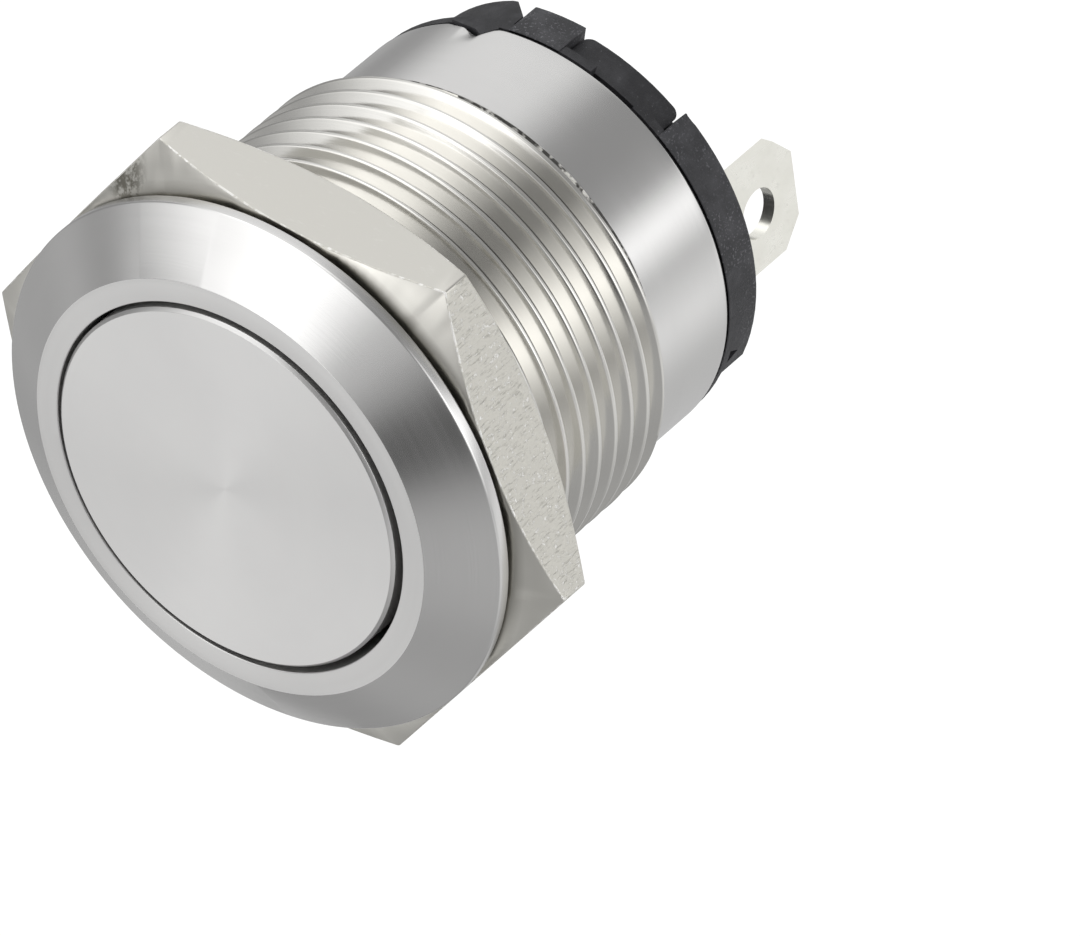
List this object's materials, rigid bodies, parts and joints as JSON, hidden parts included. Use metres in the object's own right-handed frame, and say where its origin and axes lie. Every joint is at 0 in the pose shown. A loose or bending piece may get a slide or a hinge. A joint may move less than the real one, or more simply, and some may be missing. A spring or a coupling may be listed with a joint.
{
  "type": "pushbutton switch",
  "caption": "Metal panel-mount momentary pushbutton with a flat round button, conical bezel, threaded body, hex nut, black moulded base and solder tabs.",
  "frame": {"origin": "on the button's axis, in the plane where the bezel seats on the panel", "axes": "+Z along the axis towards the user; the two terminals lie on the X axis"},
  "size_m": [0.0246, 0.0244, 0.0258],
  "materials": {
    "stainless_steel": "turned satin stainless steel",
    "nickel_plate": "nickel plate over brass, fine scratches",
    "black_moulding": "matt glass-filled polyamide",
    "white_moulding": "natural acetal",
    "seal_rubber": "moulded nitrile rubber",
    "spring_steel": "drawn spring steel",
    "contact_strip": "stamped brass strip",
    "plated_terminal": "stamped brass, silver plated",
    "contact_silver": "fine silver"
  },
  "bodies": {
    "switch_body": {"housing": "stainless_steel", "contact_block": "black_moulding", "base_cover": "black_moulding", "chamber_gasket": "seal_rubber", "terminal_a": "plated_terminal", "terminal_b": "plated_terminal", "fixed_contact_a": "contact_silver", "fixed_contact_b": "contact_silver", "return_spring": "spring_steel"},
    "button": {"button_cap": "stainless_steel", "plunger": "white_moulding", "plunger_seal": "seal_rubber", "retaining_clip": "spring_steel", "bridge_retainer": "spring_steel", "contact_spring": "spring_steel"},
    "bridge": {"contact_bridge": "contact_strip", "bridge_contact_a": "contact_silver", "bridge_contact_b": "contact_silver"},
    "nut": {"hex_nut": "nickel_plate"}
  },
  "joints": [
    {"name": "button_push", "type": "slide", "parent": "switch_body", "child": "button", "axis": [0, 0, -1], "range_m": [0, 0.0016], "stiffness_N_per_m": 1200, "springref_m": -0.002, "deforming": ["return_spring"]},
    {"name": "bridge_overtravel", "type": "slide", "parent": "button", "child": "bridge", "axis": [0, 0, 1], "range_m": [0, 0.0005], "deforming": ["contact_spring"]},
    {"name": "nut_travel", "type": "slide", "parent": "switch_body", "child": "nut", "axis": [0, 0, -1], "range_m": [0, 0.0085]}
  ],
  "couplings": [
    {"joint": "bridge_overtravel", "follows": "button_push", "ratio": 0.3125}
  ]
}
